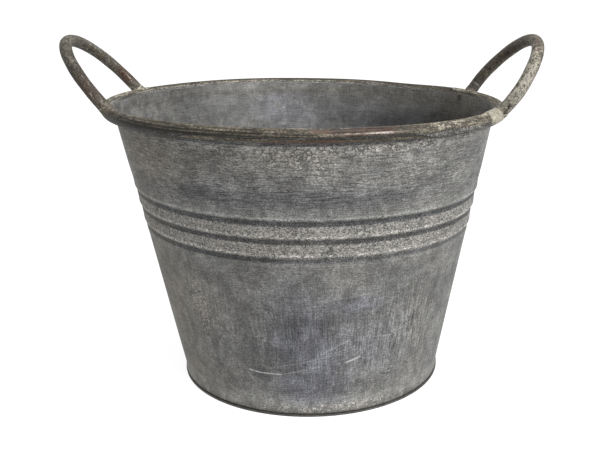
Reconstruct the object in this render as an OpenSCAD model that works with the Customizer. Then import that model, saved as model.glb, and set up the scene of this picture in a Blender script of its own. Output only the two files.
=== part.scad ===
// Two-handled galvanised florist bucket.
// Millimetres, +Z up. The origin is on the bucket's axis, on the face it stands on.
// The left handle is on -X and the right handle on +X.

/* [Body] */
// Outer diameter across the rolled rim
rim_d = 330; // [300:1:380]
// Height from the resting face to the top of the rim
body_h = 233.4; // [200:0.2:280]
// Outer diameter of the foot
foot_d = 223.4; // [200:0.2:240]
// Thickness of the sheet metal
sheet = 0.9; // [0.7:0.1:1.2]

/* [Rim] */
// Outer diameter of the rolled edge
roll_d = 10.8; // [9.6:0.2:13]
// Angle below the horizontal at which the free edge of the roll ends, on its outer side
roll_end = 12; // [0:1:30]

/* [Beads] */
// Height of the upper bead's crest above the resting face
bead_z = 167.8; // [120:0.2:180]
// Distance between the crests of neighbouring beads
bead_pitch = 14.5; // [12:0.5:20]
// How far a bead stands out from the wall
bead_out = 1.1; // [0.8:0.1:3]
// Width of a bead along the wall
bead_w = 8; // [6:0.5:11]

/* [Side seams] */
// Width of the lap where the back sheet covers the front sheet
lap_w = 11; // [6:0.5:16]

/* [Bottom] */
// Height of the bottom disc's underside above the resting face
pan_rise = 5.2; // [4.6:0.1:12]
// Height of the folded lip round the foot
lip_h = 2.2; // [1.8:0.1:4]
// Height at which the tapered wall turns into the upright foot
foot_h = 8.5; // [7:0.1:12]

/* [Handles] */
// Diameter of the handle bar
bar_d = 9.8; // [8:0.2:10.4]

/* [Left handle] */
// Height of the loop's centre line above the rim, along the loop's own plane
left_rise = 67.5; // [62:0.5:75]
// Lean of the loop outward from the vertical
left_lean = 40.4; // [25:0.2:50]
// Radius of the crown, the arc over the top of the loop
left_crown_r = 69.7; // [66:0.1:76]
// Half the angle of the crown
left_crown_half = 35.3; // [30:0.1:40]
// Radius of the shoulders, the arcs on each side of the crown
left_shoulder_r = 59.8; // [55:0.1:62]

/* [Right handle] */
// Height of the loop's centre line above the rim, along the loop's own plane
right_rise = 66.8; // [63:0.2:72]
// Lean of the loop outward from the vertical
right_lean = 37.7; // [25:0.2:50]
// Radius of the crown, the arc over the top of the loop
right_crown_r = 72.8; // [69:0.1:76]
// Half the angle of the crown
right_crown_half = 59.4; // [55:0.1:61]
// Radius of the shoulders, the arcs on each side of the crown
right_shoulder_r = 26.3; // [23:0.1:29]

/* [Welds] */
// How far the weld reaches along the rim to each side of a leg
wrap_w = 13; // [9:0.5:18]
// Thickness of the solder wiped over the roll
wrap_t = 0.6; // [0.3:0.1:1]
// How far the weld collar reaches up the leg from the centre of the roll
collar_h = 11.5; // [9:0.5:16]
// Radius of the weld collar beside the roll
collar_r = 6.6; // [6:0.1:7.5]

/* [Hidden] */
$fn = 96;
clear = 0.05;

roll_r = roll_d / 2;
bar_r = bar_d / 2;
rim_r = rim_d / 2 - roll_r;
rim_z = body_h - roll_r;
ring_r = roll_r - sheet - clear;

// The lip of the pan lies outside the wall's lower edge, so the wall steps in by one sheet there. Above
// the step the wall stands band_inset inside the lip's face.
band_inset = 0.3;
step_gap = 0.25;
step_h = 0.6;
foot_r = foot_d / 2;
tuck_r = foot_r - sheet - clear;
band_r = foot_r - band_inset;
step_z = lip_h + step_gap;
edge_z = sheet + 2 * clear;
// How far the foot's section runs up into the tapered wall.
foot_blend = 1;

// The outer face of the wall is a line from the top of the foot band that just touches the ring's space.
to_ring = norm([rim_r - band_r, rim_z - foot_h]);
taper = atan2(rim_r - band_r, rim_z - foot_h) - asin((roll_r - sheet) / to_ring);
run_top = sqrt(pow(to_ring, 2) - pow(roll_r - sheet, 2));

// A point on the wall, at height z on its outer face and depth d into the sheet.
function wall_at(z, d) = [
    band_r + (z - foot_h) * tan(taper) - d * cos(taper),
    z + d * sin(taper)
];

// Bead arcs: a circle through the two ends of the bead and its crest.
bead_r = (pow(bead_w / 2, 2) + pow(bead_out, 2)) / (2 * bead_out);

// The curl reaches a little way down into the sheet that it grows out of.
curl_root = 3;
// A length well past the roll, for the shapes that cut it.
past_roll = 3 * roll_r;

lap_top_gap = 2;
lap_foot_gap = 1.5;
lap_top = rim_z - roll_r - lap_top_gap;
lap_bottom = foot_h + lap_foot_gap;
lap_turn = lap_w / rim_r * 180 / PI;
joggle_turn = 0.8;

// Stretches of one sheet or bar sink into each other by these amounts where they join.
sink = 0.02;
bar_sink = 0.1;
sink_turn = 0.6;

// The wiped solder stays above the sheet that runs up the inside of the roll.
wrap_foot = 1.5;
collar_foot = 2;
collar_lip = 0.4;

zinc = [0.55, 0.56, 0.56];
steel = [0.42, 0.38, 0.33];
solder = [0.66, 0.63, 0.56];

// ---------------------------------------------------------------- wall

module bead_discs(r) {
    for (i = [0:2]) {
        z = bead_z - i * bead_pitch;
        translate(wall_at(z, bead_r - bead_out)) circle(r = r);
    }
}

// The straight run of sheet between the depths d0 and d1, from z0 up to z1.
module run(d0, d1, z0, z1) {
    polygon([wall_at(z0, d1), wall_at(z0, d0), wall_at(z1, d0), wall_at(z1, d1)]);
}

// A layer of beaded sheet, whose faces stand at these distances outside the wall's outer face.
module beaded_run(outer, inner, z0, z1) {
    difference() {
        union() {
            run(-outer, -inner, z0, z1);
            intersection() {
                bead_discs(bead_r + outer);
                run(-outer - 2 * bead_out, -inner, z0, z1);
            }
        }
        bead_discs(bead_r + inner);
    }
}

module foot_section() {
    polygon([
        [tuck_r - sheet, edge_z],
        [tuck_r, edge_z],
        [tuck_r, step_z],
        [band_r, step_z + step_h],
        [band_r, foot_h],
        wall_at(foot_h + foot_blend, 0),
        wall_at(foot_h + foot_blend, sheet),
        [band_r - sheet, foot_h],
        [band_r - sheet, step_z + step_h],
        [tuck_r - sheet, step_z]
    ]);
}

module curl_section() {
    difference() {
        translate([rim_r, rim_z]) circle(r = roll_r);
        translate([rim_r, rim_z]) circle(r = roll_r - sheet);
        translate([rim_r, rim_z]) polygon([
            [0, 0],
            [past_roll * cos(roll_end), -past_roll * sin(roll_end)],
            [past_roll, -past_roll],
            [-past_roll, -past_roll],
            [-past_roll * cos(taper - curl_root), past_roll * sin(taper - curl_root)]
        ]);
    }
}

module wall_section() {
    foot_section();
    beaded_run(0, -sheet, foot_h + foot_blend / 2, rim_z + (roll_r - sheet) * sin(taper));
    curl_section();
}

module wall_front() {
    color(zinc) rotate([0, 0, 180]) rotate_extrude(angle = 180) wall_section();
}

// A lap: the back sheet steps outward and covers the edge of the front sheet.
module lap() {
    rotate([0, 0, -lap_turn]) rotate_extrude(angle = lap_turn + joggle_turn / 2)
        beaded_run(sheet + clear, clear, lap_bottom, lap_top);
    rotate_extrude(angle = joggle_turn)
        beaded_run(sheet + clear + sink, -sheet / 2, lap_bottom - sink, lap_top + sink);
}

module wall_back() {
    color(zinc) {
        rotate_extrude(angle = 180) wall_section();
        lap();
        mirror([1, 0, 0]) lap();
    }
}

// ---------------------------------------------------------------- ring and bottom

module torus(r) {
    rotate_extrude() translate([rim_r, rim_z]) circle(r = r);
}

module rim_ring() {
    color(steel) torus(ring_r);
}

module bottom_pan() {
    inner_r = tuck_r - sheet - clear;
    color(zinc) rotate_extrude() {
        translate([0, pan_rise]) square([inner_r, sheet]);
        translate([inner_r - sheet, 0]) square([sheet, pan_rise + sheet]);
        translate([inner_r - sheet, 0]) square([foot_r - inner_r + sheet, sheet]);
        translate([foot_r - sheet, 0]) square([sheet, lip_h]);
    }
}

// ---------------------------------------------------------------- handles

// A loop is drawn in its own plane, X along the rim and Y up the loop. A shape is its rise, crown radius,
// half crown angle and shoulder radius. The shoulders run down to the rim's centre line.
left = [left_rise, left_crown_r, left_crown_half, left_shoulder_r];
right = [right_rise, right_crown_r, right_crown_half, right_shoulder_r];

function shoulder_at(s) = [
    (s[1] - s[3]) * sin(s[2]),
    s[0] - s[1] + (s[1] - s[3]) * cos(s[2])
];
// The turn of the bar from the top of the loop to the rim's centre line, and where it meets that line.
function turn(s) = acos(-shoulder_at(s)[1] / s[3]);
function root_x(s) = shoulder_at(s)[0] + s[3] * sin(turn(s));

// An arc of bar round the plane's origin, between two angles measured clockwise from +Y.
module arc_bar(bar, r, from, to) {
    rotate([0, 0, 90 - to]) rotate_extrude(angle = to - from)
        translate([r, 0]) circle(r = bar);
}

module shoulder(s) {
    translate(shoulder_at(s)) arc_bar(bar_r - bar_sink, s[3], s[2] - sink_turn, turn(s));
}

// Puts a loop's plane on the rim at +X, leaning outward, with the loop's X along the world's Y.
module on_rim(s, lean) {
    translate([sqrt(pow(rim_r, 2) - pow(root_x(s), 2)), 0, rim_z])
        rotate([0, lean, 0]) rotate([90, 0, 90]) children();
}

module handle(s, lean) {
    color(steel) difference() {
        on_rim(s, lean) {
            translate([0, s[0] - s[1], 0]) arc_bar(bar_r, s[1], -s[2] - sink_turn, s[2] + sink_turn);
            shoulder(s);
            mirror([1, 0, 0]) shoulder(s);
        }
        torus(roll_r + clear);
    }
}

module handle_left() {
    mirror([1, 0, 0]) handle(left, left_lean);
}

module handle_right() {
    handle(right, right_lean);
}

// ---------------------------------------------------------------- welds

// Lays a child that runs along +Z up the bar, from its root on the rim's centre line.
module up_leg(s, lean) {
    on_rim(s, lean) translate([root_x(s), 0]) rotate([0, 0, 180 - turn(s)]) rotate([0, 90, 0])
        children();
}

// The weld at the foot of the leg on the +Y side of a handle at +X: solder wiped over the top of the
// roll, and a collar that climbs the leg.
module weld(s, lean) {
    span = wrap_w / rim_r * 180 / PI;
    color(solder) difference() {
        union() {
            rotate([0, 0, asin(root_x(s) / rim_r) - span]) rotate_extrude(angle = 2 * span)
                difference() {
                    translate([rim_r, rim_z]) circle(r = roll_r + wrap_t);
                    translate([rim_r - past_roll, rim_z - past_roll])
                        square([2 * past_roll, past_roll + wrap_foot]);
                }
            up_leg(s, lean) translate([0, 0, collar_foot])
                cylinder(r1 = collar_r, r2 = bar_r + collar_lip, h = collar_h - collar_foot);
        }
        torus(roll_r + clear);
        up_leg(s, lean) cylinder(r = bar_r + clear, h = collar_h + 1);
    }
}

module weld_left_back() {
    mirror([1, 0, 0]) weld(left, left_lean);
}

module weld_left_front() {
    mirror([0, 1, 0]) weld_left_back();
}

module weld_right_back() {
    weld(right, right_lean);
}

module weld_right_front() {
    mirror([0, 1, 0]) weld_right_back();
}

wall_front();
wall_back();
rim_ring();
bottom_pan();
handle_left();
handle_right();
weld_left_front();
weld_left_back();
weld_right_front();
weld_right_back();
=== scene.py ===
"""An aged, galvanised florist bucket with two bar handles.

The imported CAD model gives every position. The detailed pieces below replace its plain nodes, all but the
bottom pan, with the dents, lean and worn finish of the real bucket. Lengths are in metres. Azimuths and
the angles in tables are in degrees.
"""
import math

import bmesh
import bpy
import numpy as np
from mathutils import Matrix, Vector


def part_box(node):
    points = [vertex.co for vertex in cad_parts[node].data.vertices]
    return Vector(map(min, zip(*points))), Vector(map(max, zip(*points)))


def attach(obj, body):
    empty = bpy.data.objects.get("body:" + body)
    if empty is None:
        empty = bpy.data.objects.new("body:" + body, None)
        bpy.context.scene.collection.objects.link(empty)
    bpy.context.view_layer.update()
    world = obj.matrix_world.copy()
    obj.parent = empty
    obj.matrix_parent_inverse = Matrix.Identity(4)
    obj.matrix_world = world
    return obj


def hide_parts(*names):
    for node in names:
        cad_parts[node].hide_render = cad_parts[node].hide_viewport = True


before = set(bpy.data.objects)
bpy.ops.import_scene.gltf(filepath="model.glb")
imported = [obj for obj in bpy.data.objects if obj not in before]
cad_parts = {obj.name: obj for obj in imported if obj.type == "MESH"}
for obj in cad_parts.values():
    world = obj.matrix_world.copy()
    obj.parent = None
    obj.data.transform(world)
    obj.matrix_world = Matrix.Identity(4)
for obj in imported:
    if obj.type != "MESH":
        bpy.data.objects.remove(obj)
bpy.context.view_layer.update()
MM = 0.001

# ---------------------------------------------------------------- sizes, from the CAD boxes

WALL_LOW, WALL_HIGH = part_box("wall_front")
RING_LOW, RING_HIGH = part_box("rim_ring")
_, PAN_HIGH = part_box("bottom_pan")

# The CAD model leaves this clearance between the pieces.
CLEAR = 0.05 * MM
RING_R = (RING_HIGH.z - RING_LOW.z) / 2
RIM_Z = (RING_HIGH.z + RING_LOW.z) / 2
ROLL_R = WALL_HIGH.z - RIM_Z
SHEET = ROLL_R - RING_R - CLEAR
RIM_R = -WALL_LOW.y - ROLL_R
# The foot: the pan's folded lip, the upright band above it, and the wall's edge tucked inside the lip.
FOOT_R = PAN_HIGH.x
BAND_R = FOOT_R - 0.3 * MM
TUCK_R = FOOT_R - SHEET - CLEAR
EDGE_Z = SHEET + 2 * CLEAR
STEP_Z = 2.45 * MM
STEP_H = 0.6 * MM
FOOT_H = 8.5 * MM
BAR_R = 4.9 * MM
LAP_WIDTH = 11 * MM
# The azimuth of the side that faces the camera.
FRONT = -90

# The wall's outer face is a line that just touches the space of the ring.
to_ring = math.hypot(RIM_R - BAND_R, RIM_Z - FOOT_H)
TAPER = math.atan2(RIM_R - BAND_R, RIM_Z - FOOT_H) - math.asin((ROLL_R - SHEET) / to_ring)
RUN = math.sqrt(to_ring**2 - (ROLL_R - SHEET) ** 2)

# The crests of the three beads: their heights in mm, and their distances up the wall from the foot's top.
BEAD_HEIGHTS = (167.3, 153.3, 138.8)
BEADS = [(z * MM - FOOT_H) / math.cos(TAPER) for z in BEAD_HEIGHTS]

# A handle's rise, crown radius, half crown angle, shoulder radius and outward lean.
HANDLES = {
    "left": (67.5 * MM, 69.7 * MM, 35.3, 59.8 * MM, 40.4),
    "right": (66.8 * MM, 72.8 * MM, 59.4, 26.3 * MM, 37.7),
}


def smooth(x, low, high):
    """0 below low, 1 above high, and a smooth step between."""
    t = np.clip((x - low) / (high - low), 0, 1)
    return t * t * (3 - 2 * t)


def hump(x, centre, width):
    """A bell of height 1 and this half width."""
    return np.exp(-(((x - centre) / width) ** 2))


def turned(az, centre):
    """The angle from centre to az, in degrees, from -180 to 180."""
    return (az - centre + 180) % 360 - 180


# ---------------------------------------------------------------- the old bucket's own shape

# Sideways shift of the body by height, and rise of the mouth by x.
LEAN = -0.0109
TILT = -0.0224
# Slow ripples of the wall: waves round the bucket, phase in degrees, height in mm.
RIPPLES = [(3, 40, 0.35), (5, -70, 0.25)]
# Rises and dips of the mouth: azimuth, half width, height in mm.
MOUTH = [(115, 22, 0.5), (50, 13, -1.1), (90, 45, 0.5)]


def age(p):
    """Moves points of the true CAD shape to where the worn bucket has them: a slight lean, slow ripples
    and a tilted, slightly wavy mouth. The foot stays where it is."""
    p = np.array(p, float)
    x, y, z = p[:, 0], p[:, 1], p[:, 2]
    r = np.hypot(x, y)
    az = np.degrees(np.arctan2(y, x))
    up = smooth(z / RIM_Z, 0.0, 0.65)
    top = smooth(z / RIM_Z, 0.75, 1.0)
    out = sum(h * MM * np.sin(np.radians(n * az + phase)) for n, phase, h in RIPPLES)
    lift = sum(h * MM * hump(turned(az, centre), 0, width) for centre, width, h in MOUTH)
    scale = 1 + out * up / np.maximum(r, 1 * MM)
    q = np.empty_like(p)
    q[:, 0] = x * scale + LEAN * z
    q[:, 1] = y * scale
    q[:, 2] = z + TILT * x * up + lift * top
    return q


# ---------------------------------------------------------------- meshes


def grid(rows, cols, wrap=False, start=0, flip=False):
    """Quads over a rows x cols lattice of points. wrap joins the last column to the first."""
    i = np.arange(rows - 1)[:, None]
    j = np.arange(cols if wrap else cols - 1)[None, :]
    k = (j + 1) % cols
    quads = np.stack([i * cols + j, i * cols + k, (i + 1) * cols + k, (i + 1) * cols + j], -1)
    quads = quads.reshape(-1, 4) + start
    return quads[:, ::-1].tolist() if flip else quads.tolist()


MASKS = {
    "stain_and_highlight": ("tone", "warm", "pale"),
    "grain_and_shade": ("dark", "streak", "brush"),
    "feel": ("gritty", "blotchy", "cold"),
}


# Edges sharper than this aren't shaded smooth.
SHARP_ANGLE = 50


def masks(shape, **given):
    """The surface's mask values, one flat array for each name."""
    names = [n for group in MASKS.values() for n in group]
    return {n: np.broadcast_to(given.get(n, 0.0), shape).ravel().astype(float) for n in names}


def build(name, points, faces, flow, mask, materials, face_materials, node):
    """A mesh piece with its flow coordinates (along, across, through) and its masks."""
    mesh = bpy.data.meshes.new(name)
    mesh.from_pydata(age(points).tolist(), [], faces)
    # Every closed shell of the piece gets outward faces.
    shell = bmesh.new()
    shell.from_mesh(mesh)
    bmesh.ops.recalc_face_normals(shell, faces=shell.faces)
    shell.to_mesh(mesh)
    shell.free()
    layer = mesh.attributes.new("flow", "FLOAT_VECTOR", "POINT")
    layer.data.foreach_set("vector", np.asarray(flow, np.float32).ravel())
    for group, names in MASKS.items():
        rgba = np.stack([mask[n] for n in names] + [np.ones(len(points))], -1)
        layer = mesh.attributes.new(group, "FLOAT_COLOR", "POINT")
        layer.data.foreach_set("color", rgba.astype(np.float32).ravel())
    for m in materials:
        mesh.materials.append(m)
    if face_materials is not None:
        mesh.polygons.foreach_set("material_index", np.asarray(face_materials, np.int32))
    mesh.shade_smooth()
    mesh.set_sharp_from_angle(angle=math.radians(SHARP_ANGLE))
    mesh.update()
    piece = bpy.data.objects.new(name, mesh)
    bpy.context.scene.collection.objects.link(piece)
    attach(piece, "root")
    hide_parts(node)


# ---------------------------------------------------------------- shading helpers


class Shader:
    """A material whose nodes are made by short calls. A value may be a number, a colour or a socket."""

    def __init__(self, name):
        self.material = bpy.data.materials.new(name)
        self.material.use_nodes = True
        self.tree = self.material.node_tree
        self.surface = self.tree.nodes["Principled BSDF"]

    def put(self, socket, value):
        if isinstance(value, bpy.types.NodeSocket):
            self.tree.links.new(value, socket)
        elif isinstance(value, (tuple, list)) and len(value) == 3 and socket.type == "RGBA":
            socket.default_value = (*value, 1.0)
        else:
            socket.default_value = value

    def node(self, kind, out=0, settings=None, **inputs):
        """A new node's output. An input called i0, i1 ... goes by its number, any other by its name."""
        n = self.tree.nodes.new(kind)
        for key, value in (settings or {}).items():
            setattr(n, key, value)
        for key, value in inputs.items():
            self.put(n.inputs[int(key[1:])] if key[1:].isdigit() else n.inputs[key], value)
        return n.outputs[out]

    def math(self, operation, a, b):
        return self.node("ShaderNodeMath", settings={"operation": operation}, i0=a, i1=b)

    def vector(self, operation, a, out=0, **inputs):
        return self.node("ShaderNodeVectorMath", out, {"operation": operation}, i0=a, **inputs)

    def sum(self, a, b):
        return self.math("ADD", a, b)

    def less(self, a, b):
        return self.math("SUBTRACT", a, b)

    def times(self, a, b):
        return self.math("MULTIPLY", a, b)

    def most(self, a, b):
        return self.math("MAXIMUM", a, b)

    def step(self, value, low, high, a=0.0, b=1.0):
        """A smooth step from a, at low, to b, at high."""
        settings = {"interpolation_type": "SMOOTHSTEP"}
        return self.node("ShaderNodeMapRange", settings=settings, i0=value, i1=low, i2=high, i3=a, i4=b)

    def blend(self, share, a, b):
        n = self.tree.nodes.new("ShaderNodeMix")
        n.data_type = "RGBA"
        self.put(n.inputs[0], share)
        self.put(n.inputs[6], a)
        self.put(n.inputs[7], b)
        return n.outputs[2]

    def lit(self, colour, amount):
        """The colour made lighter or darker."""
        return self.vector("SCALE", colour, Scale=amount)

    def mask(self, name):
        """The three values of a mask attribute."""
        n = self.tree.nodes.new("ShaderNodeAttribute")
        n.attribute_name = name
        return self.parts(n.outputs["Color"])

    def flow(self):
        n = self.tree.nodes.new("ShaderNodeAttribute")
        n.attribute_name = "flow"
        return n.outputs["Vector"]

    def parts(self, vector):
        n = self.tree.nodes.new("ShaderNodeSeparateXYZ")
        self.put(n.inputs[0], vector)
        return tuple(n.outputs)

    def stretched(self, vector, sizes_mm, shift):
        """The vector measured in grains of these sizes."""
        big = self.vector("MULTIPLY", vector, i1=tuple(1000.0 / s for s in sizes_mm))
        return self.vector("ADD", big, i1=(shift, shift * 0.7, shift * 1.3))

    def noise(self, vector, sizes_mm, shift=0.0, detail=3.0, rough=0.6, distort=0.0):
        return self.node(
            "ShaderNodeTexNoise",
            Vector=self.stretched(vector, sizes_mm, shift),
            Scale=1.0,
            Detail=detail,
            Roughness=rough,
            Distortion=distort,
        )

    def cracks(self, vector, size_mm, noise, push):
        """The distance from the edges of crackle cells, whose edges a noise makes crooked."""
        moved = self.vector("SCALE", self.vector("SCALE", (1.0, 1.0, 1.0), Scale=noise), Scale=push)
        moved = self.vector("ADD", vector, i1=moved)
        settings = {"feature": "DISTANCE_TO_EDGE"}
        vector = self.stretched(moved, (size_mm, size_mm, size_mm), 6.6)
        return self.node("ShaderNodeTexVoronoi", settings=settings, Vector=vector, Scale=1.0)

    def vary(self, value, noise, amount):
        """The value made lighter and darker by a noise, whose mean is one half."""
        return self.times(value, self.sum(1.0, self.times(self.less(noise, 0.5), amount)))

    def plus(self, value, *noises):
        """The value with some noises added, each (noise, weight) with its mean taken off."""
        for noise, weight in noises:
            value = self.sum(value, self.times(self.less(noise, 0.5), weight))
        return value

    def scratches(self, flow, table, speck):
        """A mask of fine straight scratches, each from (azimuth, height) to (azimuth, height)."""
        total = 0.0
        flat = self.vector("MULTIPLY", flow, i1=(1.0, 1.0, 0.0))
        for az0, z0, az1, z1, width, strength in table:
            a = Vector((math.radians(az0) * FLOW_R, z0 * MM, 0.0))
            b = Vector((math.radians(az1) * FLOW_R, z1 * MM, 0.0))
            away = self.vector("SUBTRACT", flat, i1=tuple(a))
            share = self.vector("DOT_PRODUCT", away, 1, i1=tuple((b - a) / (b - a).length_squared))
            share = self.node("ShaderNodeClamp", Value=share)
            gap = self.vector("DISTANCE", away, 1, i1=self.vector("SCALE", tuple(b - a), Scale=share))
            line = self.step(gap, 0.25 * width * MM, width * MM, strength, 0.0)
            total = self.most(total, self.times(line, self.step(speck, 0.36, 0.50, 0.3, 1.0)))
        return total

    def bump(self, height, distance, strength, normal=None):
        extra = {"Normal": normal} if normal is not None else {}
        return self.node("ShaderNodeBump", Strength=strength, Distance=distance, Height=height, **extra)

    def finish(self, colour, metallic, roughness, normal):
        inputs = self.surface.inputs
        self.put(inputs["Base Color"], colour)
        self.put(inputs["Metallic"], metallic)
        self.put(inputs["Roughness"], roughness)
        self.put(inputs["Normal"], normal)
        return self.material


# ---------------------------------------------------------------- materials

# The flow coordinate along the wall is the azimuth, in radians, times this radius.
FLOW_R = 0.135

# Linear colours of the zinc: its usual grey, where it is sooty or has painted shade, cold or warm, its
# white bloom, the pits and cracks in the bloom, the nicks and the scratches.
ZINC_GREY = (0.202, 0.200, 0.191)
ZINC_SOOT_AND_SHADE = (0.184, 0.188, 0.192)
ZINC_COLD = (0.190, 0.192, 0.212)
ZINC_WARM = (0.212, 0.196, 0.166)
BLOOM = (0.375, 0.357, 0.330)
PITS = (0.078, 0.075, 0.070)
NICK = (0.060, 0.060, 0.060)
SCRATCH = (0.62, 0.63, 0.61)
# Of the rolled edge and the bars: the brown film, dark and light, rust, worn zinc and cream flecks, which
# also paint a highlight streak on the roll.
FILM_DARK = (0.118, 0.100, 0.070)
FILM_LIGHT = (0.152, 0.134, 0.100)
RUST = (0.096, 0.052, 0.031)
WORN_ZINC = (0.174, 0.168, 0.152)
CREAM = (0.395, 0.366, 0.302)
# Of the solder, dark and light, and the film on it.
SOLDER_DARK = (0.370, 0.345, 0.268)
SOLDER_LIGHT = (0.470, 0.445, 0.360)
SOLDER_FILM = (0.112, 0.098, 0.074)
# Of the pan, dark and light, and the painted shade on its lip.
PAN_DARK = (0.172, 0.163, 0.149)
PAN_LIGHT = (0.208, 0.201, 0.188)
LIP_SHADE = (0.035, 0.033, 0.030)

# Bright scratches on the outside: azimuth and height of both ends, half width in mm, strength.
SCRATCHES = [
    (-113.6, 39.4, -109, 38.0, 0.9, 1.0), (-109, 38.0, -101, 38.2, 0.8, 0.9),
    (-100, 38.6, -86, 46, 0.6, 0.35), (-77.2, 47.6, -71.8, 51.6, 1.1, 1.0), (-85, 58, -76, 68, 0.7, 0.40),
    (-83, 56, -74, 62, 0.6, 0.3), (-76, 93, -62, 103, 0.5, 0.28), (-67, 68, -60, 66, 0.7, 0.35),
    (-92, 50, -78, 57, 0.6, 0.3), (-104, 44, -92, 50, 0.5, 0.25), (-60, 60, -48, 64, 0.5, 0.2),
    (-70, 90, -58, 101, 0.5, 0.22), (-88, 102, -70, 106, 0.9, 0.15), (-79, 50, -66, 62, 0.5, 0.25),
]
# Dark nicks and cuts, in the same form.
NICKS = [
    (-62, 31.5, -59, 30.2, 0.9, 0.75), (-59, 30.2, -56, 32, 0.9, 0.75), (-53, 68, -51, 65, 0.9, 0.7),
    (-51, 65, -50.5, 62, 0.9, 0.7), (-43, 22.5, -42.4, 20.5, 0.9, 0.6), (-96, 19, -95.5, 14, 0.9, 0.6),
    (-133.8, 121, -132.8, 118.5, 1.3, 0.9), (-126.6, 183, -125.6, 180.5, 1.5, 0.85),
    (-135.6, 15, -135, 13, 1.2, 0.8), (-78.4, 180, -77.6, 176.5, 2.2, 0.5), (-40, 51, -38, 44, 0.8, 0.35),
    (-112, 218, -111.6, 210, 0.9, 0.5), (-74, 219, -73.7, 212, 0.9, 0.5),
    (-28.6, 208, -28.2, 203, 1.2, 0.6), (-94.5, 206, -84, 203.5, 0.8, 0.35),
    (-86, 196, -78, 195, 0.7, 0.3),
]


def zinc():
    s = Shader("aged_zinc")
    flow = s.flow()
    tone, warm, pale = s.mask("stain_and_highlight")
    dark, streak, brush = s.mask("grain_and_shade")
    gritty, blotchy, cold = s.mask("feel")

    grit = s.noise(flow, (0.85, 0.8, 0.85), 2.7, 2.0, 0.8)
    fine = s.noise(flow, (2.6, 2.1, 2.4), 3.1, 3.0, 0.75)
    mottle = s.noise(flow, (8, 7, 8), 8.3, 4.0, 0.6)
    cloud = s.noise(flow, (34, 26, 30), 1.7, 4.0, 0.55, 0.6)
    lines = s.noise(flow, (10, 0.65, 40), 5.2, 3.0, 0.8, 0.2)
    drips = s.noise(flow, (0.8, 15, 40), 9.4, 4.0, 0.75, 0.2)
    smear = s.noise(flow, (11, 17, 12), 16.0, 4.0, 0.6, 0.7)
    speck = s.noise(flow, (1.7, 1.0, 1.5), 14.2, 2.0, 0.7)
    cracks = s.cracks(flow, 4.4, mottle, 5 * MM)

    # How light the metal is: 1 is its usual grey.
    value = s.sum(1.0, s.times(s.less(grit, 0.5), s.times(gritty, 7.4)))
    value = s.vary(value, fine, s.sum(0.65, s.times(gritty, 0.95)))
    value = s.vary(value, mottle, 0.9)
    value = s.vary(value, cloud, 1.0)
    value = s.vary(value, lines, s.times(brush, 5.2))
    value = s.vary(value, drips, s.times(streak, 4.6))
    value = s.vary(value, s.step(smear, 0.43, 0.57), blotchy)
    # tone also holds painted highlights: along the bead crests, just under the rim and on the rolled edge.
    value = s.times(value, s.times(tone, 2.0))
    # This darkening is soot and stains, and also painted shade under the beads, under the rolled edge and
    # along the foot.
    soot_and_shade = s.step(s.plus(dark, (mottle, 0.9), (fine, 0.5)), 0.1, 0.95)
    value = s.times(value, s.sum(1.0, s.times(soot_and_shade, -0.62)))
    value = s.most(value, 0.15)
    tint = s.blend(soot_and_shade, ZINC_GREY, ZINC_SOOT_AND_SHADE)
    tint = s.blend(s.times(cold, s.step(cloud, 0.35, 0.60, 0.6, 1.0)), tint, ZINC_COLD)
    tint = s.blend(warm, tint, ZINC_WARM)
    colour = s.lit(tint, value)

    # Chalky white bloom, pitted and crackled.
    chalk = s.step(s.plus(pale, (mottle, 1.3), (fine, 1.3), (smear, 0.6)), 0.30, 0.68)
    chalk = s.times(chalk, s.sum(1.0, s.times(soot_and_shade, -0.8)))
    pits = s.step(speck, 0.53, 0.59)
    crack = s.times(s.step(cracks, 0.0, 0.125, 1.0, 0.0), s.step(mottle, 0.39, 0.53))
    crack = s.times(crack, s.step(gritty, 0.55, 0.9, 1.0, 0.2))
    gone = s.most(s.times(pits, 0.9), s.times(crack, 0.9))
    cover = s.times(chalk, s.less(1.0, gone))
    bloom = s.vary(s.vary(1.0, fine, 1.7), grit, 3.2)
    bloom = s.times(bloom, s.times(tone, 2.0))
    bloom = s.vary(bloom, lines, s.times(brush, 2.0))
    colour = s.blend(s.times(cover, 0.85), colour, s.lit(BLOOM, bloom))
    colour = s.blend(s.times(s.times(chalk, gone), 0.85), colour, PITS)

    # Nicks and scratches.
    colour = s.blend(s.scratches(flow, NICKS, speck), colour, NICK)
    colour = s.blend(s.scratches(flow, SCRATCHES, speck), colour, SCRATCH)

    rough = s.sum(s.plus(0.50, (fine, 0.3)), s.times(cover, 0.22))
    height = s.plus(0.0, (fine, 0.5), (mottle, 0.8), (grit, 0.3))
    height = s.sum(height, s.times(s.times(lines, brush), 0.5))
    height = s.sum(height, s.times(cover, 0.25))
    normal = s.bump(height, 0.22 * MM, 0.7)
    normal = s.bump(cloud, 2.2 * MM, 0.35, normal)
    return s.finish(colour, 0.35, rough, normal)


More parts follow.
